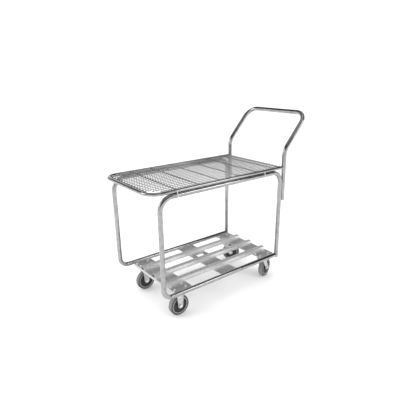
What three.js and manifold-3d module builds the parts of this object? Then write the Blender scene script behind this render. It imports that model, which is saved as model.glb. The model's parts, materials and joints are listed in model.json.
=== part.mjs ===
// Two-deck platform trolley: bent tube side frames, push handle, wire top deck,
// ribbed steel lower deck, two rigid casters in front and two swivel casters behind.
// Millimetres, +Z up, +X towards the front (away from the handle), +Y to the left.
// The origin lies on the floor under the middle of the trolley.
import * as THREE from 'three';
import { mergeVertices } from 'three/addons/utils/BufferGeometryUtils.js';
import Module from 'manifold-3d';

const wasm = await Module();
wasm.setup();

// Clearance left between neighbouring pieces
const gap = 0.3;

// Side frames, one bent tube each
const frameRadius = 13.5;
const frameBore = 12;
const frameY = 252;
const rearLegX = -364.1;
const frontLegX = 520.5;
const legEndZ = 160.7;
const railLowZ = 175.2;
const railHighZ = 743.2;
const bendHighFront = 74;
const bendHighRear = 72;
const bendLowFront = 54;

// Rim tube of the upper deck, lying on the side frames
const rimRadius = 9.5;
const rimBore = 8.3;
const rimZ = railHighZ + frameRadius + gap + rimRadius;
const rimFrontX = 575;
const rimBend = 80;
const clipXs = [419.5, -211];
const clipRadius = 1.7;
const clipEyeWidth = 13;
const clipEyeDrop = 11;
const clipBend = 5;

// Push handle, standing just behind the rear legs
const handleSetback = 28.4;
const handleX = rearLegX - handleSetback;
const handleFootZ = 553;
const handleKinkZ = 875;
const handleBarX = -582.6;
const handleBarZ = 1084.8;
const handleKinkBend = 90;
const handleCornerBend = 75;

// Wire deck
const deckTopZ = 777.5;
const wireSize = 4;
const supportSize = 8;
const deckRearX = -373;
const deckFrontX = 568;
const deckCutY = 180;
const deckCutSlope = 1.14;
const rearBarRadius = 4;
const rearBarX = -366;
const rearBarZ = deckTopZ - wireSize - gap - rearBarRadius;

// Lower deck
const sheet = 1.5;
const lowerTopZ = 174.2;
const lowerEdgeY = 238.2;
const stripEdgeY = 238.1;
const lowerRearX = -367.5;
const panelLength = 120.5;
const windowLength = 221;
const frontLip = 18;
const windowLip = 6;
const ribHeight = 19.2;
const ribSpacing = 127;

// Casters
const wheelRadius = 62.5;
const wheelWidth = 32;
const hubRadius = 50;
const casterY = 189;
const frontCasterX = 387;
const rearCasterX = -295;
const swivelLead = 45;
const leftTrailAngle = 198;
const rightTrailAngle = 131;
const plateLength = 92;
const plateWidth = 64;
const plateThickness = 3;
const plateTopZ = lowerTopZ - sheet - gap;
const plateHoleX = 38;
const plateHoleY = 22;
const plateHoleRadius = 5.2;
const boltRadius = 4;
const forkInside = 18.5;
const forkThickness = 3;
const axleRadius = 5;
const crownTopZ = 156.7;
const crownRadius = 32;

const group = new THREE.Group();
group.name = 'platform_trolley';

const finishes = {
  chrome: { color: 0xb9bbbd, roughness: 0.18, metalness: 1 },
  zinc: { color: 0x9c9ea0, roughness: 0.38, metalness: 0.9 },
  caster: { color: 0xb4b6b8, roughness: 0.35, metalness: 0.9 },
  bolt: { color: 0xc8cacc, roughness: 0.3, metalness: 1 },
  rubber: { color: 0x6a6a6c, roughness: 0.75, metalness: 0 },
  plastic: { color: 0x2b2b2d, roughness: 0.55, metalness: 0 },
};

function add(name, geometry, finish) {
  geometry.computeVertexNormals();
  const mesh = new THREE.Mesh(geometry, new THREE.MeshStandardMaterial(finishes[finish]));
  mesh.name = name;
  group.add(mesh);
}

// Conversions to and from boolean solids
function toSolid(geometry) {
  geometry.deleteAttribute('normal');
  geometry.deleteAttribute('uv');
  const merged = mergeVertices(geometry, 1e-4);
  const vertProperties = new Float32Array(merged.attributes.position.array);
  const triVerts = new Uint32Array(merged.index.array);
  return new wasm.Manifold(new wasm.Mesh({ numProp: 3, vertProperties, triVerts }));
}

function fromSolid(solid) {
  const mesh = solid.getMesh();
  const geometry = new THREE.BufferGeometry();
  geometry.setAttribute('position', new THREE.BufferAttribute(mesh.vertProperties, 3));
  geometry.setIndex(new THREE.BufferAttribute(mesh.triVerts, 1));
  return geometry;
}

// A box given by its lowest and highest corners
function box(low, high) {
  const size = high.map((value, i) => value - low[i]);
  const geometry = new THREE.BoxGeometry(...size);
  geometry.translate(...low.map((value, i) => value + size[i] / 2));
  return geometry;
}

// A prism standing on bottomZ
function prism(shape, bottomZ, height, curveSegments = 4) {
  const settings = { depth: height, bevelEnabled: false, curveSegments };
  const geometry = new THREE.ExtrudeGeometry(shape, settings);
  geometry.translate(0, 0, bottomZ);
  return geometry;
}

// A turned body about Z; the profile holds pairs of radius and height
function turned(profile, segments) {
  const points = profile.map(([radius, height]) => new THREE.Vector2(radius, height));
  return new THREE.LatheGeometry(points, segments).rotateX(Math.PI / 2);
}

function circlePath(x, y, radius, sides) {
  const path = new THREE.Path();
  for (let i = 0; i <= sides; i += 1) {
    const angle = (2 * Math.PI * i) / sides;
    const px = x + radius * Math.cos(angle);
    const py = y + radius * Math.sin(angle);
    if (i === 0) path.moveTo(px, py);
    else path.lineTo(px, py);
  }
  return path;
}

// Centre line of a bent tube: straight runs joined by circular bends
class BentLine extends THREE.Curve {
  constructor(corners, bendSteps) {
    super();
    this.points = [];
    this.tangents = [];
    corners.forEach(({ at, bend = 0 }, i) => {
      const before = corners[i - 1];
      const after = corners[i + 1];
      const arriving = before ? at.clone().sub(before.at).normalize() : null;
      const leaving = after ? after.at.clone().sub(at).normalize() : null;
      if (!arriving || !leaving) {
        this.points.push(at.clone());
        this.tangents.push(arriving ?? leaving);
        return;
      }
      const turn = arriving.angleTo(leaving);
      const start = at.clone().addScaledVector(arriving, -bend * Math.tan(turn / 2));
      const inward = leaving.clone().addScaledVector(arriving, -leaving.dot(arriving)).normalize();
      for (let step = 0; step <= bendSteps; step += 1) {
        const angle = (turn * step) / bendSteps;
        const point = start.clone();
        point.addScaledVector(arriving, bend * Math.sin(angle));
        point.addScaledVector(inward, bend * (1 - Math.cos(angle)));
        const tangent = arriving.clone().multiplyScalar(Math.cos(angle));
        this.points.push(point);
        this.tangents.push(tangent.addScaledVector(inward, Math.sin(angle)));
      }
    });
  }

  get runs() {
    return this.points.length - 1;
  }

  getSpacedPoints() {
    return this.points;
  }

  getTangentAt(u, target = new THREE.Vector3()) {
    return target.copy(this.tangents[Math.round(u * this.runs)]);
  }
}

// A round section swept along a bent line, solid or with a bore right through
function sweep(corners, radius, bore = 0, bendSteps = 5) {
  const line = new BentLine(corners, bendSteps);
  const section = new THREE.Shape(circlePath(0, 0, radius, 12).getPoints());
  if (bore > 0) section.holes.push(circlePath(0, 0, bore, 8));
  const settings = { steps: line.runs, extrudePath: line, bevelEnabled: false };
  return new THREE.ExtrudeGeometry(section, settings);
}

const point = (x, y, z) => new THREE.Vector3(x, y, z);

// Side frames: rear leg, upper rail, front leg and lower rail in one bent tube,
// the lower rail ending square against the rear leg
function sideFrame(y) {
  const build = (radius, past) => {
    const middleX = (rearLegX + frontLegX) / 2;
    const bent = toSolid(sweep([
      { at: point(rearLegX, y, legEndZ - past) },
      { at: point(rearLegX, y, railHighZ), bend: bendHighRear },
      { at: point(frontLegX, y, railHighZ), bend: bendHighFront },
      { at: point(frontLegX, y, railLowZ), bend: bendLowFront },
      { at: point(middleX - 1, y, railLowZ) },
    ], radius));
    const straight = toSolid(sweep([
      { at: point(middleX + 1, y, railLowZ) },
      { at: point(rearLegX + 6, y, railLowZ) },
    ], radius));
    return bent.add(straight);
  };
  return fromSolid(build(frameRadius, 0).subtract(build(frameBore, 1)));
}

add('side_frame_left', sideFrame(frameY), 'chrome');
add('side_frame_right', sideFrame(-frameY), 'chrome');

// Push handle
const handleLine = [
  { at: point(handleX, frameY, handleFootZ) },
  { at: point(handleX, frameY, handleKinkZ), bend: handleKinkBend },
  { at: point(handleBarX, frameY, handleBarZ), bend: handleCornerBend },
  { at: point(handleBarX, -frameY, handleBarZ), bend: handleCornerBend },
  { at: point(handleX, -frameY, handleKinkZ), bend: handleKinkBend },
  { at: point(handleX, -frameY, handleFootZ) },
];
add('push_handle', sweep(handleLine, frameRadius, frameBore), 'chrome');

// Rim of the upper deck, its rear ends against the handle uprights
const rimRearX = handleX + frameRadius + gap;
const rimLine = [
  { at: point(rimRearX, frameY, rimZ) },
  { at: point(rimFrontX, frameY, rimZ), bend: rimBend },
  { at: point(rimFrontX, -frameY, rimZ), bend: rimBend },
  { at: point(rimRearX, -frameY, rimZ) },
];
// Clips that hold the rim down on the side rails: a wire welded to the outside of
// the rim runs down past the rail, turns in an eye below it and ends under it
function clip(x, side) {
  const outerY = side * (frameY + frameRadius + 2 * gap + clipRadius);
  const eyeZ = railHighZ - frameRadius - clipEyeDrop;
  const endX = x + clipEyeWidth;
  const wire = sweep([
    { at: point(x, side * (frameY + rimRadius + clipRadius / 2), rimZ + clipRadius) },
    { at: point(x, outerY, railHighZ + 2 * clipRadius), bend: clipBend },
    { at: point(x, outerY, eyeZ), bend: clipBend },
    { at: point(endX, outerY, eyeZ), bend: clipBend },
    { at: point(endX, side * (frameY + frameRadius / 2), eyeZ + clipBend) },
  ], clipRadius, 0, 3);
  return toSolid(wire);
}

function rim() {
  const clips = clipXs.flatMap((x) => [clip(x, 1), clip(x, -1)]);
  const tube = toSolid(sweep(rimLine, rimRadius, rimBore, 6));
  return fromSolid(clips.reduce((whole, one) => whole.add(one), tube));
}

add('deck_rim', rim(), 'chrome');

// Rear bar of the upper deck
const rearBarY = frameY - rimRadius - gap;
const rearBar = [
  { at: point(rearBarX, -rearBarY, rearBarZ) },
  { at: point(rearBarX, rearBarY, rearBarZ) },
];
add('deck_rear_bar', sweep(rearBar, rearBarRadius), 'zinc');

// Wire deck: long wires on top, cross wires under them and stout support rods
// every fifth cross wire; the two front corners are cut off
function wireDeck() {
  const longPitch = 56;
  const supportPitch = 144.2;
  const firstSupportX = -309.5;
  const crossTopZ = deckTopZ - wireSize + 0.5;
  const bars = [];
  for (let i = -4; i <= 4; i += 1) {
    const y = i * longPitch;
    const cut = deckCutSlope * Math.max(0, Math.abs(y) - deckCutY);
    bars.push(box(
      [deckRearX, y - wireSize / 2, deckTopZ - wireSize],
      [deckFrontX - cut, y + wireSize / 2, deckTopZ],
    ));
  }
  for (let i = 0; i <= 12; i += 1) {
    const x = i < 12 ? firstSupportX + (i * supportPitch) / 2 : deckFrontX - 10;
    const size = i % 2 === 0 && i < 12 ? supportSize : wireSize;
    const halfY = Math.min(rearBarY, deckCutY + (deckFrontX - x) / deckCutSlope);
    bars.push(box(
      [x - size / 2, -halfY, crossTopZ - size],
      [x + size / 2, halfY, crossTopZ],
    ));
  }
  return fromSolid(bars.map(toSolid).reduce((whole, bar) => whole.add(bar)));
}

add('wire_deck', wireDeck(), 'chrome');

// Lower deck: three cross panels, two edge strips and three hat section ribs
const boltHoles = [];
for (const x of [frontCasterX, rearCasterX]) {
  for (const y of [casterY, -casterY]) {
    for (const dx of [-plateHoleX, plateHoleX]) {
      for (const dy of [-plateHoleY, plateHoleY]) boltHoles.push([x + dx, y + dy]);
    }
  }
}

function panel(x0, x1, notched) {
  const notchX = rearLegX + frameRadius + 1;
  const notchY = frameY - frameRadius - 1;
  const right = [[x0, -notchY], [notchX, -notchY], [notchX, -lowerEdgeY]];
  const left = [[notchX, lowerEdgeY], [notchX, notchY], [x0, notchY]];
  const rearRight = notched ? right : [[x0, -lowerEdgeY]];
  const rearLeft = notched ? left : [[x0, lowerEdgeY]];
  const outline = [...rearRight, [x1, -lowerEdgeY], [x1, lowerEdgeY], ...rearLeft];
  const shape = new THREE.Shape(outline.map(([x, y]) => new THREE.Vector2(x, y)));
  boltHoles.filter(([x]) => x > x0 && x < x1)
    .forEach(([x, y]) => shape.holes.push(circlePath(x, y, plateHoleRadius, 6)));
  return shape;
}

const middleRearX = lowerRearX + panelLength + windowLength;
const frontRearX = middleRearX + panelLength + windowLength;
const lowerFrontX = frontRearX + panelLength;
const rearPanel = panel(lowerRearX, lowerRearX + panelLength, true);
const middlePanel = panel(middleRearX, middleRearX + panelLength, false);
const frontPanel = panel(frontRearX, lowerFrontX, false);
const slot = [[8, -76], [60, -76], [60, -49], [8, -49]];
middlePanel.holes.push(new THREE.Path(slot.map(([x, y]) => new THREE.Vector2(x, y))));

// Each panel's front edge is folded down into a lip, deepest on the front one
function lippedPanel(shape, frontX, lip) {
  const fold = box([frontX - sheet, -lowerEdgeY, lowerTopZ - lip], [frontX, lowerEdgeY, lowerTopZ]);
  return fromSolid(toSolid(prism(shape, lowerTopZ - sheet, sheet)).add(toSolid(fold)));
}

add('lower_panel_rear', lippedPanel(rearPanel, lowerRearX + panelLength, windowLip), 'zinc');
add('lower_panel_middle', lippedPanel(middlePanel, middleRearX + panelLength, windowLip), 'zinc');
add('lower_panel_front', lippedPanel(frontPanel, lowerFrontX, frontLip), 'zinc');

for (const [side, sign] of [['left', 1], ['right', -1]]) {
  const edges = [sign * (stripEdgeY - 10), sign * stripEdgeY];
  const y0 = Math.min(...edges);
  const y1 = Math.max(...edges);
  const bottom = lowerTopZ + gap;
  const strip = box([lowerRearX + 20, y0, bottom], [lowerFrontX, y1, bottom + sheet]);
  add(`lower_edge_strip_${side}`, strip, 'zinc');
}

function ribShape() {
  const half = [[26, 0], [26, sheet], [18, sheet], [15, ribHeight], [0, ribHeight]];
  const under = [[0, ribHeight - sheet], [13.7, ribHeight - sheet], [16.6, 0]];
  const upper = [...half, ...half.slice(0, -1).reverse().map(([y, z]) => [-y, z])];
  const lower = [...under.slice(1).reverse().map(([y, z]) => [-y, z]), ...under.slice(1)];
  const outline = [...upper, ...lower].filter(([y, z]) => y !== 0 || z !== ribHeight);
  return new THREE.Shape(outline.map(([y, z]) => new THREE.Vector2(y, z)));
}

for (const [name, y] of [['left', ribSpacing], ['centre', 0], ['right', -ribSpacing]]) {
  const length = lowerFrontX - lowerRearX;
  const rib = new THREE.ExtrudeGeometry(ribShape(), { depth: length, bevelEnabled: false });
  rib.rotateX(Math.PI / 2);
  rib.rotateZ(Math.PI / 2);
  rib.translate(lowerRearX, y, lowerTopZ + gap);
  add(`lower_rib_${name}`, rib, 'zinc');
}

// Places a caster piece, made with its pivot on the Z axis and trailing to +X
function placed(geometry, x, y, angle) {
  geometry.rotateZ(THREE.MathUtils.degToRad(angle));
  geometry.translate(x, y, 0);
  return geometry;
}

// Turns a body made about Z so that it lies along the axle
function alongAxle(geometry, lead) {
  geometry.rotateX(Math.PI / 2);
  geometry.translate(lead, 0, wheelRadius);
  return geometry;
}

// Wheel parts
const hubHalf = 13;
const hubProfile = [
  [8.3, -14], [14, -14], [16, -6], [42, -5], [44, -hubHalf], [hubRadius, -hubHalf],
  [hubRadius, hubHalf], [44, hubHalf], [42, 5], [16, 6], [14, 14], [8.3, 14], [8.3, -14],
];
const tyreInner = hubRadius + gap;
const tyreHalf = wheelWidth / 2;
const tyreProfile = [
  [tyreInner, -tyreHalf], [57, -tyreHalf], [60.8, -tyreHalf + 2.5], [wheelRadius, -tyreHalf + 7],
  [wheelRadius, tyreHalf - 7], [60.8, tyreHalf - 2.5], [57, tyreHalf], [tyreInner, tyreHalf],
  [tyreInner, -tyreHalf],
];
const sleeveHalf = forkInside - gap;
const sleeveProfile = [
  [5.3, -sleeveHalf], [8, -sleeveHalf], [8, sleeveHalf], [5.3, sleeveHalf], [5.3, -sleeveHalf],
];

const axleSeat = forkInside + forkThickness + gap;

function axleBolt() {
  const head = new THREE.CylinderGeometry(9.2, 9.2, 6, 6);
  head.translate(0, -axleSeat - 3, 0);
  const shank = new THREE.CylinderGeometry(axleRadius, axleRadius, 2 * axleSeat + 9, 12);
  shank.translate(0, 4, 0);
  const bolt = fromSolid(toSolid(head).add(toSolid(shank)));
  bolt.rotateX(Math.PI / 2);
  return bolt;
}

function axleNut() {
  const body = toSolid(new THREE.CylinderGeometry(9.2, 9.2, 6, 6));
  const bore = toSolid(new THREE.CylinderGeometry(axleRadius + gap, axleRadius + gap, 8, 12));
  const nut = fromSolid(body.subtract(bore));
  nut.translate(0, axleSeat + 3, 0);
  nut.rotateX(Math.PI / 2);
  return nut;
}

// One leg of a fork: a plate tapering from the top down to the rounded axle end
function forkLeg(lead, topZ, halfTop, side) {
  const endRadius = 16.5;
  const shape = new THREE.Shape();
  shape.moveTo(-halfTop, topZ);
  shape.lineTo(-halfTop, topZ - 14);
  for (let i = 0; i <= 6; i += 1) {
    const angle = Math.PI + (i * Math.PI) / 6;
    const x = lead + endRadius * Math.cos(angle);
    shape.lineTo(x, wheelRadius + endRadius * Math.sin(angle));
  }
  shape.lineTo(halfTop, topZ - 14);
  shape.lineTo(halfTop, topZ);
  shape.holes.push(circlePath(lead, wheelRadius, axleRadius + gap, 12));
  const leg = new THREE.ExtrudeGeometry(shape, { depth: forkThickness, bevelEnabled: false });
  leg.rotateX(Math.PI / 2);
  leg.translate(0, side > 0 ? forkInside + forkThickness : -forkInside, 0);
  return toSolid(leg);
}

function mountingPlate(pinRadius) {
  const x = plateLength / 2;
  const y = plateWidth / 2;
  const cut = 6;
  const outline = [
    [x, -y + cut], [x, y - cut], [x - cut, y], [cut - x, y],
    [-x, y - cut], [-x, -y + cut], [cut - x, -y], [x - cut, -y],
  ];
  const shape = new THREE.Shape(outline.map(([px, py]) => new THREE.Vector2(px, py)));
  for (const px of [-plateHoleX, plateHoleX]) {
    for (const py of [-plateHoleY, plateHoleY]) {
      shape.holes.push(circlePath(px, py, plateHoleRadius, 6));
    }
  }
  if (pinRadius > 0) shape.holes.push(circlePath(0, 0, pinRadius, 16));
  return toSolid(prism(shape, plateTopZ - plateThickness, plateThickness));
}

function rigidFork() {
  const legTop = plateTopZ - plateThickness + 1;
  const legs = forkLeg(0, legTop, 25, 1).add(forkLeg(0, legTop, 25, -1));
  return fromSolid(mountingPlate(0).add(legs));
}

function swivelFork() {
  const legTop = crownTopZ - 1;
  const legs = forkLeg(swivelLead, legTop, 24, 1).add(forkLeg(swivelLead, legTop, 24, -1));
  const crown = toSolid(turned([
    [6.3, crownTopZ - 4], [crownRadius, crownTopZ - 4], [crownRadius, crownTopZ],
    [6.3, crownTopZ], [6.3, crownTopZ - 4],
  ], 24));
  return fromSolid(crown.add(legs));
}

// Upper half of a swivel: mounting plate with the pressed race ring under it
function swivelTopPlate() {
  const bottom = plateTopZ - plateThickness;
  const ring = turned([
    [26, bottom - 6], [33, bottom - 6], [33, bottom + 1], [26, bottom + 1], [26, bottom - 6],
  ], 24);
  return fromSolid(mountingPlate(6.3).add(toSolid(ring)));
}

function ballRace() {
  const low = crownTopZ + gap;
  const high = plateTopZ - plateThickness - gap;
  return turned([[13, low], [25, low], [25, high], [13, high], [13, low]], 20);
}

function kingPin() {
  const low = crownTopZ - 4 - gap;
  return turned([
    [0, low - 5], [10, low - 5], [10, low], [6, low], [6, plateTopZ], [0, plateTopZ],
  ], 12);
}

function plateBolt() {
  const headTop = plateTopZ - plateThickness - gap;
  const nutBottom = lowerTopZ + gap;
  const head = new THREE.CylinderGeometry(7.3, 7.3, 4.5, 6).rotateX(Math.PI / 2);
  head.translate(0, 0, headTop - 2.25);
  const nut = new THREE.CylinderGeometry(7.3, 7.3, 6.5, 6).rotateX(Math.PI / 2);
  nut.translate(0, 0, nutBottom + 3.25);
  const length = nutBottom + 9.5 - headTop + 2;
  const shank = new THREE.CylinderGeometry(boltRadius, boltRadius, length, 6).rotateX(Math.PI / 2);
  shank.translate(0, 0, headTop - 2 + length / 2);
  return fromSolid(toSolid(head).add(toSolid(shank)).add(toSolid(nut)));
}

function caster(name, x, y, angle, swivels) {
  const lead = swivels ? swivelLead : 0;
  const wheelPart = (geometry) => placed(alongAxle(geometry, lead), x, y, angle);
  if (swivels) {
    add(`${name}_top_plate`, placed(swivelTopPlate(), x, y, 0), 'caster');
    add(`${name}_ball_race`, placed(ballRace(), x, y, 0), 'bolt');
    add(`${name}_king_pin`, placed(kingPin(), x, y, 0), 'bolt');
  }
  add(`${name}_fork`, placed(swivels ? swivelFork() : rigidFork(), x, y, angle), 'caster');
  add(`${name}_axle_bolt`, wheelPart(axleBolt()), 'bolt');
  add(`${name}_axle_nut`, wheelPart(axleNut()), 'bolt');
  add(`${name}_sleeve`, wheelPart(turned(sleeveProfile, 12)), 'bolt');
  add(`${name}_hub`, wheelPart(turned(hubProfile, 24)), 'plastic');
  add(`${name}_tyre`, wheelPart(turned(tyreProfile, 24)), 'rubber');
  const corners = { front_inner: [1, -1], front_outer: [1, 1], rear_inner: [-1, -1], rear_outer: [-1, 1] };
  for (const [corner, [dx, dy]] of Object.entries(corners)) {
    const bx = x + dx * plateHoleX;
    const by = y + dy * Math.sign(y) * plateHoleY;
    add(`${name}_bolt_${corner}`, placed(plateBolt(), bx, by, 0), 'bolt');
  }
}

caster('front_left', frontCasterX, casterY, 0, false);
caster('front_right', frontCasterX, -casterY, 0, false);
caster('rear_left', rearCasterX, casterY, leftTrailAngle, true);
caster('rear_right', rearCasterX, -casterY, rightTrailAngle, true);

export default group;
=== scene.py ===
"""Looks of the platform trolley: chrome tube frame, wire top deck, ribbed steel lower deck and casters.

Metres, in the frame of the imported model: +X to the front, +Y to the left, +Z up, floor at z = 0.
"""
import json
import math

import bmesh
import bpy
from mathutils import Matrix, Vector


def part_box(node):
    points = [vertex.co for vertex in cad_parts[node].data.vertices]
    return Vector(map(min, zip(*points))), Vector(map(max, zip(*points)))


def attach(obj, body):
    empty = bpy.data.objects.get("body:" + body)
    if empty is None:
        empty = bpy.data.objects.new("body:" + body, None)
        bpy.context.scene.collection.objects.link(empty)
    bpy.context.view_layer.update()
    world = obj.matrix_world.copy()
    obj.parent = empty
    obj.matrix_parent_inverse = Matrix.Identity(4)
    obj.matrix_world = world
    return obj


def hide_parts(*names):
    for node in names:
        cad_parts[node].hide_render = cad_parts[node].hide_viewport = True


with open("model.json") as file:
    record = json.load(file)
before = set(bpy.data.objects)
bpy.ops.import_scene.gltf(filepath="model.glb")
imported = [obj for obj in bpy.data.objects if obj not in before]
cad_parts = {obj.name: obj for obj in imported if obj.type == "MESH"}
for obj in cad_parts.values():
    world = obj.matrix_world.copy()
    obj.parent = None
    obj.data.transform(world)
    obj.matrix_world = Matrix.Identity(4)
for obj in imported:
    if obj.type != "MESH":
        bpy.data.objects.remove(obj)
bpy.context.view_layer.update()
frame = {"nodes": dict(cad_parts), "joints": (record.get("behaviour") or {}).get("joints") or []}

MM = 0.001

# Tubes
FRAME_RADIUS = 13.5 * MM
FRAME_BORE = 12 * MM
RIM_RADIUS = 9.5 * MM
RIM_BORE = 8.3 * MM
BEND_HIGH_FRONT = 74 * MM
BEND_HIGH_REAR = 72 * MM
BEND_LOW_FRONT = 54 * MM
RIM_BEND = 80 * MM
HANDLE_KINK_BEND = 90 * MM
HANDLE_CORNER_BEND = 75 * MM
HANDLE_KINK_Z = 875 * MM
LOW_RAIL_Z = 175.2 * MM
TUBE_SIDES = 28
END_LIP = 0.35
END_DOME = ((0.0, 0.55), (0.12, 0.85), (0.45, 1.0))
BEND_STEP = 5

# Welds
BEAD_SIDES = 8
BEAD_WAVE = 0.18
BEAD_WAVE_STEP = 2.1
BEAD_RADIUS = 2 * MM
BEAD_LENGTH = 30 * MM
BEAD_OFFSET = 3.4 * MM
BEAD_ABOVE_FOOT = 4 * MM
UPPER_BEAD_Z = 630 * MM
SEAM_STEPS = 12
RIM_BEAD_RADIUS = 1.5 * MM
RIM_BEAD_CLEARANCE = 0.4 * MM
RIM_BEAD_INSET = 0.5 * MM
CIRCLE_STEPS = 20

# Rim clips
CLIP_XS = (419.5 * MM, -211 * MM)
CLIP_RADIUS = 1.7 * MM
CLIP_EYE_WIDTH = 13 * MM
CLIP_EYE_DROP = 11 * MM
CLIP_BEND = 5 * MM
CLIP_BEND_STEP = 15
GAP = 0.3 * MM

# Wire deck
WIRE_RADIUS = 2 * MM
CROSS_RADIUS = 1.2 * MM
SUPPORT_RADIUS = 4 * MM
LONG_WIRES = 18
LONG_PITCH = 28 * MM
SUPPORT_PITCH = 144.2 * MM
FIRST_SUPPORT_X = -309.5 * MM
CROSS_PER_SUPPORT = 10
CROSS_SINK = 0.8 * MM
REAR_MARGIN = 20 * MM
FRONT_MARGIN = 8 * MM
WIRE_SIDES = 12
ROD_SIDES = 14
REAR_ROD_SIDES = 16
DECK_CUT_Y = 180 * MM
DECK_CUT_SLOPE = 1.14

# Lower deck
SHEET = 1.5 * MM
RIB_SPACING = 127 * MM
RIB_FOOT = 26 * MM
RIB_HEIGHT = 19.2 * MM
STRIP_WIDTH = 10 * MM
FILLET_STEPS = 8
WINDOW_FILLET = 3 * MM

# Casters. The sections are (radius, distance along the axle) in millimetres.
WHEEL_RADIUS = 62.5 * MM
TYRE_HALF_WIDTH = 16 * MM
TYRE_CROWN_DROP = 2.2 * MM
TYRE_SHOULDER = 2.4 * MM
TYRE_SHOULDER_DROP = 3.6 * MM
TREAD_STEPS = 8
SHOULDER_STEPS = 6
RING_SECTION = ((50.2, 13.0), (50.2, 14.9), (49.4, 15.6), (47.6, 15.6), (46.6, 14.9), (46.6, 13.0))
DISC_SECTION = (
    (8.4, 13.6), (13.4, 13.6), (14.6, 12.6), (15.4, 9.0), (17.0, 7.6), (28.0, 7.0), (29.0, 7.6),
    (30.4, 7.6), (31.4, 7.0), (41.0, 7.6), (43.4, 9.4), (44.2, 12.6), (45.0, 13.4), (50.0, 13.4),
)
SPOKES = 5
SPOKE_HALF_WIDTH = 2.2 * MM
SPOKE_TOP = 10.2 * MM
SPOKE_INNER = 15.5 * MM
SPOKE_OUTER = 43.0 * MM
WHEEL_STEPS = 96
CASTERS = ("front_left", "front_right", "rear_left", "rear_right")

# Studio. Heights on the sky run from 0 straight down to 1 straight up.
FLOOR_RADIUS = 40.0
SKY = ((0.0, 1.05), (0.26, 1.05), (0.34, 0.6), (0.44, 0.08), (0.78, 0.08), (0.92, 0.8))
SKY_LOWERED_TOWARDS = (-0.62, 0.78, 0.05)
SKY_LOWERED_FROM = 0.75
SKY_LOWERED_TO = 0.92
SKY_LOWERED_BY = 0.09
SOFT_BOXES = (
    ("left_box", (2.4, -1.2, 2.2), 26.0, 1.6),
    ("right_box", (-1.6, 2.4, 2.0), 14.0, 1.0),
)
FILL_PLACE = (0.6, 0.3, 3.6)
FILL_POWER = 2.9
FILL_ANGLE = 170
LAMPS_AIM_AT = (0, 0, 0.5)
CAMERA_PLACE = (1.4851, 1.848, 1.332)
CAMERA_AZIMUTH = -128.82
CAMERA_ELEVATION = -19.28
CAMERA_ROLL = -0.33
CAMERA_LENS = 33.87


def low(node):
    return Vector(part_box(node)[0])


def high(node):
    return Vector(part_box(node)[1])


def middle(node):
    return (low(node) + high(node)) / 2


# ---------------------------------------------------------------- materials


class Nodes:
    """A material's node tree, with a short way to add and link nodes."""

    def __init__(self, name):
        self.material = bpy.data.materials.new(name)
        self.material.use_nodes = True
        self.tree = self.material.node_tree
        self.tree.nodes.clear()
        self.output = self.tree.nodes.new("ShaderNodeOutputMaterial")
        self.shader = self.tree.nodes.new("ShaderNodeBsdfPrincipled")
        self.link(self.shader, "BSDF", self.output, "Surface")
        self.place = self.tree.nodes.new("ShaderNodeTexCoord")

    def link(self, source, out, target, into):
        self.tree.links.new(source.outputs[out], target.inputs[into])

    def noise(self, scale, detail=3.0, roughness=0.55, stretch=(1, 1, 1)):
        mapping = self.tree.nodes.new("ShaderNodeMapping")
        mapping.inputs["Scale"].default_value = stretch
        self.link(self.place, "Object", mapping, "Vector")
        noise = self.tree.nodes.new("ShaderNodeTexNoise")
        noise.inputs["Scale"].default_value = scale
        noise.inputs["Detail"].default_value = detail
        noise.inputs["Roughness"].default_value = roughness
        self.link(mapping, "Vector", noise, "Vector")
        return noise, "Fac"

    def cells(self, scale):
        cells = self.tree.nodes.new("ShaderNodeTexVoronoi")
        cells.inputs["Scale"].default_value = scale
        self.link(self.place, "Object", cells, "Vector")
        split = self.tree.nodes.new("ShaderNodeSeparateColor")
        self.link(cells, "Color", split, "Color")
        return split, "Red"

    def remap(self, source, start, end, low_value, high_value):
        node = self.tree.nodes.new("ShaderNodeMapRange")
        node.inputs["From Min"].default_value = start
        node.inputs["From Max"].default_value = end
        node.inputs["To Min"].default_value = low_value
        node.inputs["To Max"].default_value = high_value
        self.link(source[0], source[1], node, "Value")
        return node, "Result"

    def math(self, operation, first, second):
        node = self.tree.nodes.new("ShaderNodeMath")
        node.operation = operation
        for index, value in enumerate((first, second)):
            if isinstance(value, tuple):
                self.link(value[0], value[1], node, index)
            else:
                node.inputs[index].default_value = value
        return node, "Value"

    def ramp(self, source, stops):
        node = self.tree.nodes.new("ShaderNodeValToRGB")
        elements = node.color_ramp.elements
        while len(elements) < len(stops):
            elements.new(0.5)
        for element, (position, colour) in zip(elements, stops):
            element.position = position
            element.color = (*colour, 1)
        self.link(source[0], source[1], node, "Fac")
        return node, "Color"

    def bump(self, source, strength, distance):
        node = self.tree.nodes.new("ShaderNodeBump")
        node.inputs["Strength"].default_value = strength
        node.inputs["Distance"].default_value = distance
        self.link(source[0], source[1], node, "Height")
        self.link(node, "Normal", self.shader, "Normal")

    def put(self, source, socket):
        self.link(source[0], source[1], self.shader, socket)

    def set(self, **values):
        for socket, value in values.items():
            self.shader.inputs[socket.replace("_", " ")].default_value = value


def grey(value, warm=0.0):
    return (value * (1 + warm), value, value * (1 - warm))


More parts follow.
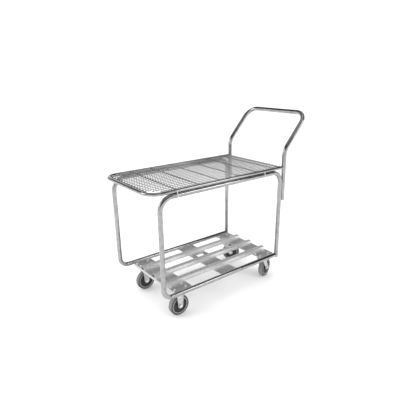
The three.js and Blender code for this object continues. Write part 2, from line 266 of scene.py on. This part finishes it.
def plated(name, base, rough_low, rough_high, stretch, mottle_and_reflection_scale=38.0, bump=0.12, metallic=1.0):
    """Plated metal: cloudy tone whose darker patches are partly painted reflection, fine polish marks,
    small dull spots and faint ripples.
    """
    nodes = Nodes(name)
    nodes.set(Metallic=metallic)
    # Cloudy tone: random variation whose darker patches are deepened to stand in for reflections of the
    # surroundings, a painted reflection.
    cloud = nodes.noise(mottle_and_reflection_scale, 4.0, 0.6)
    tone = nodes.ramp(cloud, [
        (0.3, grey(base * 0.74, 0.004)), (0.5, grey(base, -0.004)), (0.72, grey(base * 1.12, -0.008)),
    ])
    nodes.put(tone, "Base Color")
    marks = nodes.noise(420.0, 4.0, 0.7, stretch)
    rough = nodes.remap(marks, 0.3, 0.72, rough_low, rough_high)
    spots = nodes.remap(nodes.noise(160.0, 2.0, 0.5), 0.62, 0.74, 0.0, 0.16)
    nodes.put(nodes.math("ADD", rough, spots), "Roughness")
    ripple = nodes.noise(95.0, 3.0, 0.5, stretch)
    nodes.bump(nodes.math("ADD", marks, ripple), bump, 0.00008)
    return nodes.material


def plated_sheet(name, base):
    """Zinc plated sheet: faint crystal pattern, rolling streaks along X, scuffs and fine dents."""
    nodes = Nodes(name)
    nodes.set(Metallic=0.85)
    crystals = nodes.remap(nodes.cells(150.0), 0.0, 1.0, 0.93, 1.04)
    streaks = nodes.remap(nodes.noise(60.0, 5.0, 0.65, (0.08, 1, 1)), 0.3, 0.7, 0.88, 1.08)
    stain = nodes.remap(nodes.noise(9.0, 3.0, 0.6), 0.35, 0.7, 0.88, 1.05)
    tone = nodes.math("MULTIPLY", nodes.math("MULTIPLY", crystals, streaks), stain)
    colour = nodes.ramp(nodes.math("MULTIPLY", tone, 0.5), [
        (0.3, grey(base * 0.66, 0.006)), (0.5, grey(base, 0.0)), (0.6, grey(base * 1.18, -0.006)),
    ])
    nodes.put(colour, "Base Color")
    scuffs = nodes.noise(300.0, 4.0, 0.7, (0.25, 1, 1))
    rough = nodes.remap(scuffs, 0.32, 0.7, 0.24, 0.44)
    nodes.put(nodes.math("ADD", rough, nodes.remap(nodes.cells(150.0), 0.0, 1.0, -0.03, 0.04)), "Roughness")
    dents = nodes.noise(26.0, 2.0, 0.5)
    fine = nodes.math("MULTIPLY", scuffs, 0.12)
    nodes.bump(nodes.math("ADD", dents, fine), 0.16, 0.0008)
    return nodes.material


def polymer(name, base, rough, grain, dust=0.0, dust_tone=0.3):
    """Rubber or moulded plastic: fine grain, mottling and pale dust caught in patches."""
    nodes = Nodes(name)
    patches = nodes.noise(55.0, 5.0, 0.62)
    dusty = base + (dust_tone - base) * dust
    tone = nodes.ramp(patches, [
        (0.3, grey(base * 0.86)), (0.52, grey(base)), (0.72, grey(dusty, 0.015)),
    ])
    nodes.put(tone, "Base Color")
    pores = nodes.noise(grain, 3.0, 0.6)
    nodes.put(nodes.remap(patches, 0.3, 0.75, rough - 0.07, min(0.95, rough + 0.12)), "Roughness")
    nodes.bump(pores, 0.25, 0.00025)
    return nodes.material


CHROME = plated("chrome_tube", 0.37, 0.05, 0.17, (1, 1, 1))
WIRE = plated("plated_wire", 0.4, 0.12, 0.3, (1, 1, 1), mottle_and_reflection_scale=70.0)
SHEET_STEEL = plated_sheet("plated_sheet", 0.58)
RIB_STEEL = plated_sheet("rib_sheet", 0.82)
CASTER_STEEL = plated("caster_steel", 0.56, 0.24, 0.4, (1, 1, 0.4), mottle_and_reflection_scale=60.0, bump=0.2)
FASTENER = plated("bright_fastener", 0.9, 0.2, 0.36, (1, 1, 1), mottle_and_reflection_scale=120.0, metallic=0.6)
WELD = plated("weld_bead", 0.5, 0.22, 0.45, (1, 1, 1), mottle_and_reflection_scale=200.0, bump=0.4)
TREAD = polymer("rubber_tread", 0.19, 0.72, 900.0, dust=0.6, dust_tone=0.34)
SIDEWALL = polymer("rubber_sidewall", 0.055, 0.6, 900.0, dust=0.25, dust_tone=0.16)
WHEEL_RING = polymer("wheel_ring", 0.42, 0.42, 1200.0, dust=0.3, dust_tone=0.5)
WHEEL_DISC = polymer("wheel_disc", 0.022, 0.4, 1400.0, dust=0.2, dust_tone=0.07)


# ---------------------------------------------------------------- mesh building


def make_piece(name, mesh_data, materials, body, replaced=(), smooth=35):
    """Adds a mesh as a named piece that rides on a body and stands for the replaced nodes."""
    mesh = bpy.data.meshes.new(name)
    mesh_data.normal_update()
    mesh_data.to_mesh(mesh)
    mesh_data.free()
    for material in materials:
        mesh.materials.append(material)
    mesh.shade_smooth()
    mesh.set_sharp_from_angle(angle=math.radians(smooth))
    piece = bpy.data.objects.new(name, mesh)
    bpy.context.scene.collection.objects.link(piece)
    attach(piece, body)
    if replaced:
        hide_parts(*replaced)
    return piece


def bent_line(corners, step_degrees=BEND_STEP):
    """Points along straight runs joined by circular bends; corners holds (place, bend radius)."""
    points = []
    for index, (place, bend) in enumerate(corners):
        if index in (0, len(corners) - 1) or bend == 0:
            points.append(place.copy())
            continue
        arriving = (place - corners[index - 1][0]).normalized()
        leaving = (corners[index + 1][0] - place).normalized()
        turn = arriving.angle(leaving)
        start = place - arriving * bend * math.tan(turn / 2)
        inward = (leaving - arriving * leaving.dot(arriving)).normalized()
        steps = max(2, round(math.degrees(turn) / step_degrees))
        for step in range(steps + 1):
            angle = turn * step / steps
            along = arriving * bend * math.sin(angle)
            points.append(start + along + inward * bend * (1 - math.cos(angle)))
    return points


def section_frames(points):
    """A tangent and two cross axes at each point, turning as little as possible along the line."""
    last = len(points) - 1
    tangents = []
    for index in range(last + 1):
        before = points[max(index - 1, 0)]
        after = points[min(index + 1, last)]
        tangents.append((after - before).normalized())
    side = Vector((0, 0, 1)) if abs(tangents[0].z) < 0.9 else Vector((0, 1, 0))
    across = (side - tangents[0] * side.dot(tangents[0])).normalized()
    frames = []
    for tangent in tangents:
        across = (across - tangent * across.dot(tangent)).normalized()
        frames.append((tangent, across, tangent.cross(across)))
    return frames


def ring(mesh, centre, axes, radius, sides):
    """A circle of vertices about centre, in the plane of the two cross axes."""
    verts = []
    for index in range(sides):
        angle = 2 * math.pi * index / sides
        reach = axes[1] * radius * math.cos(angle) + axes[2] * radius * math.sin(angle)
        verts.append(mesh.verts.new(centre + reach))
    return verts


def bridge(mesh, first, second, material=0):
    count = len(first)
    for index in range(count):
        following = (index + 1) % count
        face = mesh.faces.new((first[index], first[following], second[following], second[index]))
        face.material_index = material


def close_chain(mesh, chain):
    """Joins rings one to the next and caps both ends."""
    for first, second in zip(chain, chain[1:]):
        bridge(mesh, first, second)
    mesh.faces.new(list(reversed(chain[0])))
    mesh.faces.new(chain[-1])


def add_tube(mesh, points, radius, bore=0.0, sides=TUBE_SIDES, depth=0.03):
    """A round tube along points. With a bore each end is open to that depth; without one it is domed."""
    frames = section_frames(points)
    start, end = frames[0], frames[-1]
    if bore > 0:
        lip = (radius - bore) * END_LIP
        mouth = [(depth, bore), (0.0, bore), (0.0, radius - lip), (lip, radius)]
    else:
        mouth = [(inset * radius, size * radius) for inset, size in END_DOME]
    chain = []
    for inset, size in mouth:
        chain.append(ring(mesh, points[0] + start[0] * inset, start, size, sides))
    for place, axes in list(zip(points, frames))[1:-1]:
        chain.append(ring(mesh, place, axes, radius, sides))
    for inset, size in reversed(mouth):
        chain.append(ring(mesh, points[-1] - end[0] * inset, end, size, sides))
    close_chain(mesh, chain)


def add_turned(mesh, profile, centre, axis, materials=None):
    """A body turned about axis; profile is a closed loop of (radius, distance along the axis)."""
    axis = axis.normalized()
    side = Vector((0, 0, 1))
    other = axis.cross(side)
    rings = []
    for radius, along in profile:
        place = centre + axis * along
        rings.append(ring(mesh, place, (axis, side, other), radius, WHEEL_STEPS))
    for index in range(len(rings)):
        material = materials[index] if materials else 0
        bridge(mesh, rings[index], rings[(index + 1) % len(rings)], material)


def outward(mesh):
    bmesh.ops.recalc_face_normals(mesh, faces=mesh.faces)
    return mesh


# ---------------------------------------------------------------- tube frame


def side_frame_tube(side):
    """One bent tube: rear leg, upper rail, front leg and lower rail."""
    node = f"side_frame_{side}"
    lowest, highest = low(node), high(node)
    y = middle(node).y
    rear_x = lowest.x + FRAME_RADIUS
    front_x = highest.x - FRAME_RADIUS
    top_z = highest.z - FRAME_RADIUS
    mesh = bmesh.new()
    add_tube(mesh, bent_line([
        (Vector((rear_x, y, lowest.z)), 0),
        (Vector((rear_x, y, top_z)), BEND_HIGH_REAR),
        (Vector((front_x, y, top_z)), BEND_HIGH_FRONT),
        (Vector((front_x, y, LOW_RAIL_Z)), BEND_LOW_FRONT),
        (Vector((rear_x + FRAME_RADIUS * 0.6, y, LOW_RAIL_Z)), 0),
    ]), FRAME_RADIUS, FRAME_BORE)
    return make_piece(f"frame_tube_{side}", outward(mesh), [CHROME], "frame", [node])


def push_handle_tube():
    lowest, highest = low("push_handle"), high("push_handle")
    y = highest.y - FRAME_RADIUS
    upright_x = highest.x - FRAME_RADIUS
    bar_x = lowest.x + FRAME_RADIUS
    bar_z = highest.z - FRAME_RADIUS
    left = [(upright_x, y, lowest.z, 0), (upright_x, y, HANDLE_KINK_Z, HANDLE_KINK_BEND),
            (bar_x, y, bar_z, HANDLE_CORNER_BEND)]
    right = [(x, -side, z, bend) for x, side, z, bend in reversed(left)]
    corners = [(Vector(place), bend) for *place, bend in left + right]
    mesh = bmesh.new()
    add_tube(mesh, bent_line(corners), FRAME_RADIUS, FRAME_BORE)
    return make_piece("handle_tube", outward(mesh), [CHROME], "frame", ["push_handle"])


def deck_rim_tube():
    lowest, highest = low("deck_rim"), high("deck_rim")
    y = middle("side_frame_left").y
    z = highest.z - RIM_RADIUS
    front_x = highest.x - RIM_RADIUS
    mesh = bmesh.new()
    add_tube(mesh, bent_line([
        (Vector((lowest.x, y, z)), 0), (Vector((front_x, y, z)), RIM_BEND),
        (Vector((front_x, -y, z)), RIM_BEND), (Vector((lowest.x, -y, z)), 0),
    ]), RIM_RADIUS, RIM_BORE)
    return make_piece("rim_tube", outward(mesh), [CHROME], "frame", ["deck_rim"])


def rear_bar_rod():
    lowest, highest = low("deck_rear_bar"), high("deck_rear_bar")
    centre = middle("deck_rear_bar")
    mesh = bmesh.new()
    ends = [Vector((centre.x, y, centre.z)) for y in (lowest.y, 0, highest.y)]
    add_tube(mesh, ends, (highest.z - lowest.z) / 2, sides=REAR_ROD_SIDES)
    return make_piece("rear_rod", outward(mesh), [WIRE], "frame", ["deck_rear_bar"])


# ---------------------------------------------------------------- wire deck


def wire_deck_mesh():
    """Long wires on top of cross wires, with stout rods at every tenth place."""
    lowest, highest = low("wire_deck"), high("wire_deck")
    top = highest.z - WIRE_RADIUS
    under = top - 2 * WIRE_RADIUS + CROSS_SINK

    def half_width(x):
        return min(highest.y, DECK_CUT_Y + (highest.x - x) / DECK_CUT_SLOPE)

    mesh = bmesh.new()
    for index in range(LONG_WIRES):
        y = (index - (LONG_WIRES - 1) / 2) * LONG_PITCH
        front = highest.x - DECK_CUT_SLOPE * max(0.0, abs(y) - DECK_CUT_Y)
        line = [Vector((x, y, top)) for x in (lowest.x, 0, front)]
        add_tube(mesh, line, WIRE_RADIUS, sides=WIRE_SIDES)
    make_piece("deck_long_wires", outward(mesh), [WIRE], "frame", ["wire_deck"])

    pitch = SUPPORT_PITCH / CROSS_PER_SUPPORT
    first = math.ceil((lowest.x + REAR_MARGIN - FIRST_SUPPORT_X) / pitch)
    last = math.floor((highest.x - FRONT_MARGIN - FIRST_SUPPORT_X) / pitch)
    wires, rods = bmesh.new(), bmesh.new()
    for index in range(first, last + 1):
        x = FIRST_SUPPORT_X + index * pitch
        half = half_width(x)
        if index % CROSS_PER_SUPPORT == 0:
            target, radius, sides = rods, SUPPORT_RADIUS, ROD_SIDES
        else:
            target, radius, sides = wires, CROSS_RADIUS, WIRE_SIDES
        z = under + WIRE_RADIUS - radius
        line = [Vector((x, y, z)) for y in (-half, 0, half)]
        add_tube(target, line, radius, sides=sides)
    make_piece("deck_cross_wires", outward(wires), [WIRE], "frame")
    make_piece("deck_support_rods", outward(rods), [WIRE], "frame")


# ---------------------------------------------------------------- lower deck


def window_fillets():
    """Rounded inside corners of the openings between the panels and the ribs."""
    panels = ("lower_panel_rear", "lower_panel_middle", "lower_panel_front")
    top = high("lower_rib_centre").z - RIB_HEIGHT - GAP
    bottom = top - SHEET
    outer = high("lower_edge_strip_left").y - STRIP_WIDTH
    lanes = [
        (-outer, -RIB_SPACING - RIB_FOOT), (-RIB_SPACING + RIB_FOOT, -RIB_FOOT),
        (RIB_FOOT, RIB_SPACING - RIB_FOOT), (RIB_SPACING + RIB_FOOT, outer),
    ]
    mesh = bmesh.new()
    for behind, ahead in zip(panels, panels[1:]):
        edges_x = ((high(behind).x, 1), (low(ahead).x, -1))
        for lane in lanes:
            for x, towards_x in edges_x:
                for y, towards_y in ((lane[0], 1), (lane[1], -1)):
                    add_fillet(mesh, Vector((x, y, 0)), towards_x, towards_y, bottom, top)
    return make_piece("window_corner_fillets", outward(mesh), [SHEET_STEEL], "frame")


def add_fillet(mesh, corner, towards_x, towards_y, bottom, top):
    """A thin plate filling an inside corner, its free edge a quarter circle."""
    outline = [corner.xy]
    for step in range(FILLET_STEPS + 1):
        angle = math.pi / 2 * step / FILLET_STEPS
        reach_x = towards_x * WINDOW_FILLET * (1 - math.cos(angle))
        reach_y = towards_y * WINDOW_FILLET * (1 - math.sin(angle))
        outline.append(corner.xy + Vector((reach_x, reach_y)))
    lower = [mesh.verts.new((*place, bottom)) for place in outline]
    upper = [mesh.verts.new((*place, top)) for place in outline]
    mesh.faces.new(lower)
    mesh.faces.new(upper)
    bridge(mesh, lower, upper)


def finish_node(node, material, bevel=0.0, segments=2):
    """Gives a carried-over node its material and slightly rounded edges."""
    item = frame["nodes"][node]
    item.data.materials.clear()
    item.data.materials.append(material)
    if bevel > 0:
        edge = item.modifiers.new("edges", "BEVEL")
        edge.width = bevel
        edge.segments = segments
        edge.limit_method = "ANGLE"
        edge.angle_limit = math.radians(40)
        edge.harden_normals = False
    return item


def lower_deck():
    for place in ("rear", "middle", "front"):
        finish_node(f"lower_panel_{place}", SHEET_STEEL, 0.5 * MM)
    for side in ("left", "right"):
        finish_node(f"lower_edge_strip_{side}", RIB_STEEL, 0.3 * MM)
    for place in ("left", "centre", "right"):
        finish_node(f"lower_rib_{place}", RIB_STEEL, 0.6 * MM, 3)
    window_fillets()


# ---------------------------------------------------------------- casters


def tyre_section():
    """The tyre's closed outline, and how many of its edges are tread."""
    shoulder_start = TYRE_HALF_WIDTH - TYRE_SHOULDER
    crown = []
    for index in range(-TREAD_STEPS, TREAD_STEPS + 1):
        along = index / TREAD_STEPS
        drop = TYRE_CROWN_DROP * abs(along) ** 2.4
        crown.append((WHEEL_RADIUS - drop, along * shoulder_start))
    face = []
    for step in range(1, SHOULDER_STEPS):
        angle = math.pi / 2 * step / SHOULDER_STEPS
        radius = WHEEL_RADIUS - TYRE_CROWN_DROP - TYRE_SHOULDER_DROP * (1 - math.cos(angle))
        face.append((radius, shoulder_start + TYRE_SHOULDER * math.sin(angle)))
    face += [
        (56.2 * MM, TYRE_HALF_WIDTH),
        (54 * MM, TYRE_HALF_WIDTH - 0.5 * MM),
        (50.5 * MM, TYRE_HALF_WIDTH - 1.0 * MM),
    ]
    return crown + face + [(r, -a) for r, a in reversed(face)], len(crown) - 1


def wheel(caster):
    """Tyre with rounded shoulders, a pale ring on each face and a dished dark centre disc."""
    body = f"{caster}_wheel"
    centre = middle(f"{caster}_tyre")
    joint = next(j for j in frame["joints"] if j["name"] == f"{caster}_wheel_spin")
    axis = Vector(joint["axis"]).normalized()
    section, tread_edges = tyre_section()
    materials = [0 if index < tread_edges else 1 for index in range(len(section))]
    tyre = bmesh.new()
    add_turned(tyre, section, centre, axis, materials)
    make_piece(f"{caster}_tyre_body", outward(tyre), [TREAD, SIDEWALL], body, [f"{caster}_tyre"])

    rings = bmesh.new()
    for sign in (1, -1):
        add_turned(rings, [(r * MM, sign * a * MM) for r, a in RING_SECTION], centre, axis)
    make_piece(f"{caster}_wheel_ring", outward(rings), [WHEEL_RING], body)

    disc = bmesh.new()
    near_side = [(r * MM, a * MM) for r, a in DISC_SECTION]
    far_side = [(r, -a) for r, a in reversed(near_side)]
    add_turned(disc, near_side + far_side, centre, axis)
    for index in range(SPOKES):
        add_spoke(disc, centre, axis, 2 * math.pi * index / SPOKES)
    make_piece(f"{caster}_wheel_disc", outward(disc), [WHEEL_DISC], body, [f"{caster}_hub"])


def add_spoke(mesh, centre, axis, angle):
    """A low web from the boss to the rim of the disc, on both faces."""
    up = Vector((0, 0, 1))
    across = axis.cross(up)
    outwards = up * math.cos(angle) + across * math.sin(angle)
    sideways = axis.cross(outwards)
    corners = (
        (-SPOKE_TOP, SPOKE_INNER), (SPOKE_TOP, SPOKE_INNER),
        (SPOKE_TOP, SPOKE_OUTER), (-SPOKE_TOP, SPOKE_OUTER),
    )
    verts = []
    for along, reach in corners:
        for sign in (-1, 1):
            place = centre + outwards * reach + axis * along
            verts.append(mesh.verts.new(place + sideways * SPOKE_HALF_WIDTH * sign))
    lower, upper = verts[0::2], verts[1::2]
    mesh.faces.new(lower)
    mesh.faces.new(upper)
    bridge(mesh, lower, upper)


def casters():
    for caster in CASTERS:
        wheel(caster)
        finish_node(f"{caster}_fork", CASTER_STEEL, 0.8 * MM, 3)
        finish_node(f"{caster}_sleeve", CASTER_STEEL)
        finish_node(f"{caster}_axle_bolt", FASTENER, 0.6 * MM)
        finish_node(f"{caster}_axle_nut", FASTENER, 0.6 * MM)
        for place in ("front_inner", "front_outer", "rear_inner", "rear_outer"):
            finish_node(f"{caster}_bolt_{place}", FASTENER, 0.5 * MM)
        if caster.startswith("rear"):
            finish_node(f"{caster}_top_plate", CASTER_STEEL, 0.7 * MM)
            finish_node(f"{caster}_ball_race", CASTER_STEEL, 0.5 * MM)
            finish_node(f"{caster}_king_pin", FASTENER, 0.5 * MM)


# ---------------------------------------------------------------- welds and clips


def add_bead(mesh, points, radius):
    """A weld bead: a tube of slightly uneven thickness along points."""
    chain = []
    for index, (place, axes) in enumerate(zip(points, section_frames(points))):
        size = radius * (1 - BEAD_WAVE + BEAD_WAVE * math.sin(index * BEAD_WAVE_STEP))
        chain.append(ring(mesh, place, axes, size, BEAD_SIDES))
    close_chain(mesh, chain)


def weld_beads():
    """Beads between the handle uprights and the rear legs, and around the rear ends of the rim tube."""
    mesh = bmesh.new()
    upright_x = high("push_handle").x - FRAME_RADIUS
    foot = low("push_handle").z
    rim_z = high("deck_rim").z - RIM_RADIUS
    around = RIM_RADIUS + RIM_BEAD_CLEARANCE
    for side in ("left", "right"):
        frame_tube = f"side_frame_{side}"
        y = middle(frame_tube).y
        seam_x = (low(frame_tube).x + FRAME_RADIUS + upright_x) / 2
        for start in (foot + BEAD_ABOVE_FOOT, UPPER_BEAD_Z):
            for edge in (-1, 1):
                line = []
                for step in range(SEAM_STEPS + 1):
                    z = start + BEAD_LENGTH * step / SEAM_STEPS
                    line.append(Vector((seam_x, y + edge * BEAD_OFFSET, z)))
                add_bead(mesh, line, BEAD_RADIUS)
        circle = []
        for step in range(CIRCLE_STEPS + 1):
            angle = 2 * math.pi * step / CIRCLE_STEPS
            place = (y + around * math.cos(angle), rim_z + around * math.sin(angle))
            circle.append(Vector((low("deck_rim").x + RIM_BEAD_INSET, *place)))
        add_bead(mesh, circle, RIM_BEAD_RADIUS)
    return make_piece("weld_beads", outward(mesh), [WELD], "frame", smooth=60)


def rim_clips():
    """Wires welded to the rim that run past the rail, turn in an eye below it and end under it."""
    mesh = bmesh.new()
    rim_z = high("deck_rim").z - RIM_RADIUS
    rail = middle("side_frame_left").y
    rail_z = high("side_frame_left").z - FRAME_RADIUS
    outer = rail + FRAME_RADIUS + 2 * GAP + CLIP_RADIUS
    eye_z = rail_z - FRAME_RADIUS - CLIP_EYE_DROP
    for side in (1, -1):
        for x in CLIP_XS:
            end_x = x + CLIP_EYE_WIDTH
            add_tube(mesh, bent_line([
                (Vector((x, side * (rail + RIM_RADIUS + CLIP_RADIUS / 2), rim_z + CLIP_RADIUS)), 0),
                (Vector((x, side * outer, rail_z + 2 * CLIP_RADIUS)), CLIP_BEND),
                (Vector((x, side * outer, eye_z)), CLIP_BEND),
                (Vector((end_x, side * outer, eye_z)), CLIP_BEND),
                (Vector((end_x, side * (rail + FRAME_RADIUS / 2), eye_z + CLIP_BEND)), 0),
            ], CLIP_BEND_STEP), CLIP_RADIUS, sides=WIRE_SIDES)
    return make_piece("rim_clips", outward(mesh), [FASTENER], "frame")


# ---------------------------------------------------------------- studio


def studio_floor():
    mesh = bmesh.new()
    bmesh.ops.create_circle(mesh, cap_ends=True, radius=FLOOR_RADIUS, segments=96)
    data = bpy.data.meshes.new("studio_floor")
    mesh.to_mesh(data)
    mesh.free()
    floor = bpy.data.objects.new("studio_floor", data)
    bpy.context.scene.collection.objects.link(floor)
    pale = Nodes("floor_paint")
    pale.set(Roughness=0.9)
    pale.put(pale.ramp(pale.noise(0.8, 2.0), [(0.3, grey(0.93)), (0.7, grey(0.95))]), "Base Color")
    data.materials.append(pale.material)


def sky():
    """A bright band at the horizon, a dark dome over it and a bright cap, for the metal to mirror.

    Towards one side the dark dome starts a little lower.
    """
    world = bpy.data.worlds.new("studio")
    world.use_nodes = True
    bpy.context.scene.world = world
    tree = world.node_tree
    background = tree.nodes["Background"]
    place = tree.nodes.new("ShaderNodeTexCoord")
    height = tree.nodes.new("ShaderNodeSeparateXYZ")
    tree.links.new(place.outputs["Generated"], height.inputs["Vector"])
    ramp = tree.nodes.new("ShaderNodeValToRGB")
    while len(ramp.color_ramp.elements) < len(SKY):
        ramp.color_ramp.elements.new(0.5)
    for element, (position, value) in zip(ramp.color_ramp.elements, SKY):
        element.position = position
        element.color = (value, value, value, 1)
    tree.links.new(ramp.outputs["Color"], background.inputs["Color"])
    beside = tree.nodes.new("ShaderNodeVectorMath")
    beside.operation = "DOT_PRODUCT"
    beside.inputs[1].default_value = SKY_LOWERED_TOWARDS
    tree.links.new(place.outputs["Generated"], beside.inputs[0])
    lower_edge = tree.nodes.new("ShaderNodeMapRange")
    lower_edge.inputs["From Min"].default_value = SKY_LOWERED_FROM
    lower_edge.inputs["From Max"].default_value = SKY_LOWERED_TO
    lower_edge.inputs["To Min"].default_value = 0.0
    lower_edge.inputs["To Max"].default_value = SKY_LOWERED_BY
    tree.links.new(beside.outputs["Value"], lower_edge.inputs["Value"])
    total = tree.nodes.new("ShaderNodeMath")
    tree.links.new(height.outputs["Z"], total.inputs[0])
    tree.links.new(lower_edge.outputs["Result"], total.inputs[1])
    tree.links.new(total.outputs["Value"], ramp.inputs["Fac"])


def lamps():
    """Two soft boxes, and a broad fill from above that mirrors don't show."""
    for name, place_at, power, size in SOFT_BOXES:
        box = bpy.data.lights.new(name, "AREA")
        box.energy = power
        box.size = size
        aim_lamp(box, place_at)
    fill = bpy.data.lights.new("overhead", "SUN")
    fill.energy = FILL_POWER
    fill.angle = math.radians(FILL_ANGLE)
    aim_lamp(fill, FILL_PLACE).visible_glossy = False


def aim_lamp(light, place_at):
    lamp = bpy.data.objects.new(light.name, light)
    bpy.context.scene.collection.objects.link(lamp)
    lamp.location = place_at
    lamp.rotation_euler = (Vector(LAMPS_AIM_AT) - lamp.location).to_track_quat("-Z", "Y").to_euler()
    return lamp


def camera():
    data = bpy.data.cameras.new("camera")
    data.lens = CAMERA_LENS
    data.sensor_width = 36.0
    data.clip_end = 200.0
    view = bpy.data.objects.new("camera", data)
    bpy.context.scene.collection.objects.link(view)
    turn = Matrix.Rotation(math.radians(CAMERA_AZIMUTH) - math.pi / 2, 4, "Z")
    tilt = Matrix.Rotation(math.pi / 2 + math.radians(CAMERA_ELEVATION), 4, "X")
    lean = Matrix.Rotation(math.radians(CAMERA_ROLL), 4, "Z")
    view.matrix_world = Matrix.Translation(CAMERA_PLACE) @ turn @ tilt @ lean
    bpy.context.scene.camera = view


camera()
for side in ("left", "right"):
    side_frame_tube(side)
push_handle_tube()
deck_rim_tube()
rear_bar_rod()
wire_deck_mesh()
lower_deck()
casters()
weld_beads()
rim_clips()
bpy.context.scene.view_settings.view_transform = "Standard"
studio_floor()
sky()
lamps()
